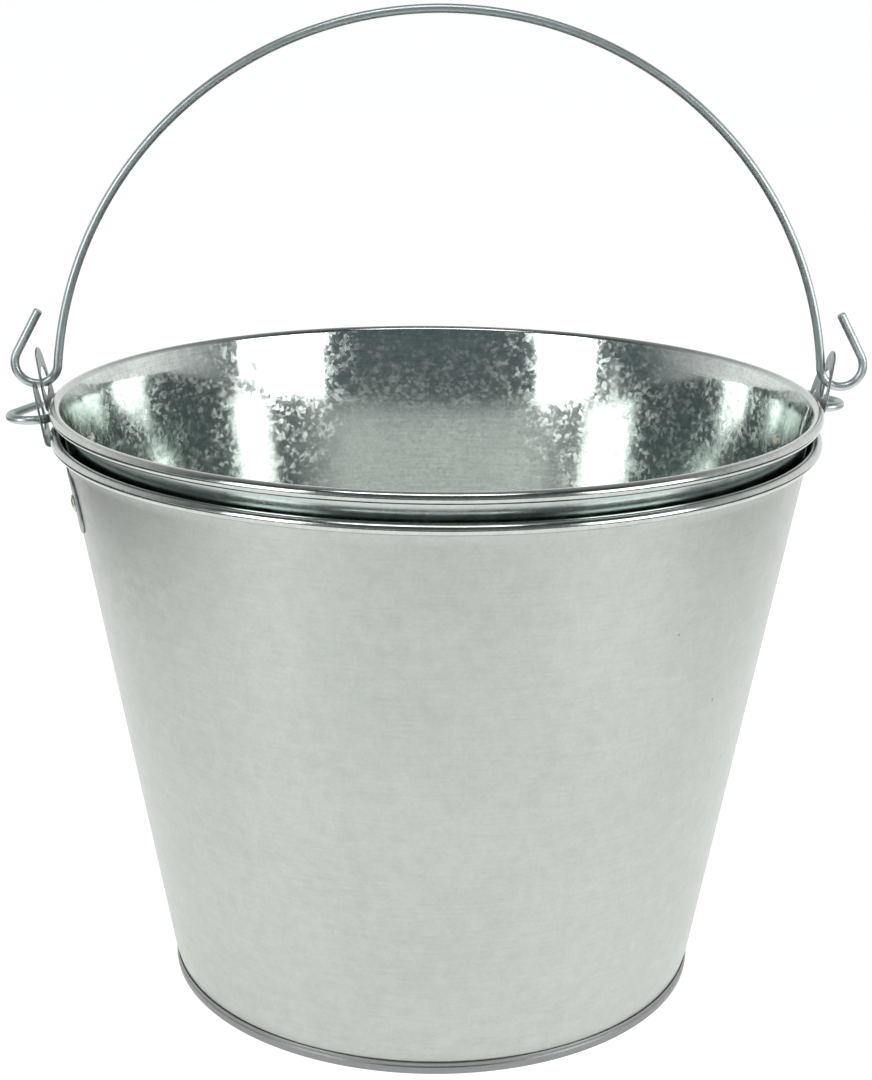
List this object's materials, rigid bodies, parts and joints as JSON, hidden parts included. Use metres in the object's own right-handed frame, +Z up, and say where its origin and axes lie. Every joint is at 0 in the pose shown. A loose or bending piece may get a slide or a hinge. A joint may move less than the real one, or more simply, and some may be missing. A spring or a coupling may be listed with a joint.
{
  "type": "feed bucket",
  "caption": "Nested pair of tapered galvanised steel feed buckets with rolled rims, riveted ears and hooked wire bails.",
  "frame": {"origin": "centre of the lower bucket's foot ring, on the floor", "axes": "+Z up along both buckets' common axis; the ears and bail hooks lie near the X axis, the upper pair turned 4.4 degrees and the lower pair 9.5 degrees about +Z; the viewer stands on the -Y side"},
  "size_m": [0.3133, 0.2799, 0.3594],
  "materials": {
    "galvanised_sheet": "hot-dip galvanised sheet, satin with a fine spangle",
    "ear_steel": "galvanised stamped steel, satin grey",
    "steel_wire": "bright galvanised drawn wire",
    "rivet_steel": "plated steel, slightly dull"
  },
  "bodies": {
    "lower_bucket": {"lower_wall": "galvanised_sheet", "lower_rim_wire": "steel_wire", "lower_bottom_pan": "galvanised_sheet", "lower_ear_left": "ear_steel", "lower_ear_right": "ear_steel", "lower_rivet_left_1": "rivet_steel", "lower_rivet_left_2": "rivet_steel", "lower_rivet_right_1": "rivet_steel", "lower_rivet_right_2": "rivet_steel"},
    "upper_bucket": {"upper_wall": "galvanised_sheet", "upper_rim_wire": "steel_wire", "upper_bottom_pan": "galvanised_sheet", "upper_ear_left": "ear_steel", "upper_ear_right": "ear_steel", "upper_rivet_left_1": "rivet_steel", "upper_rivet_left_2": "rivet_steel", "upper_rivet_right_1": "rivet_steel", "upper_rivet_right_2": "rivet_steel"},
    "lower_bail": {"lower_bail": "steel_wire"},
    "upper_bail": {"upper_bail": "steel_wire"}
  },
  "joints": [
    {"name": "upper_bucket_lift", "type": "slide", "parent": "lower_bucket", "child": "upper_bucket", "axis": [0, 0, 1], "range_m": [0, 0.24]},
    {"name": "upper_bail_swing", "type": "hinge", "parent": "upper_bucket", "child": "upper_bail", "pos_m": [0, 0, 0.22578], "axis": [0.997, 0.0767, 0.0057], "range_deg": [-91, 91]},
    {"name": "lower_bail_swing", "type": "hinge", "parent": "lower_bucket", "child": "lower_bail", "pos_m": [0, 0, 0.2137], "axis": [0.9863, 0.165, 0], "range_deg": [0, 0.4]}
  ]
}
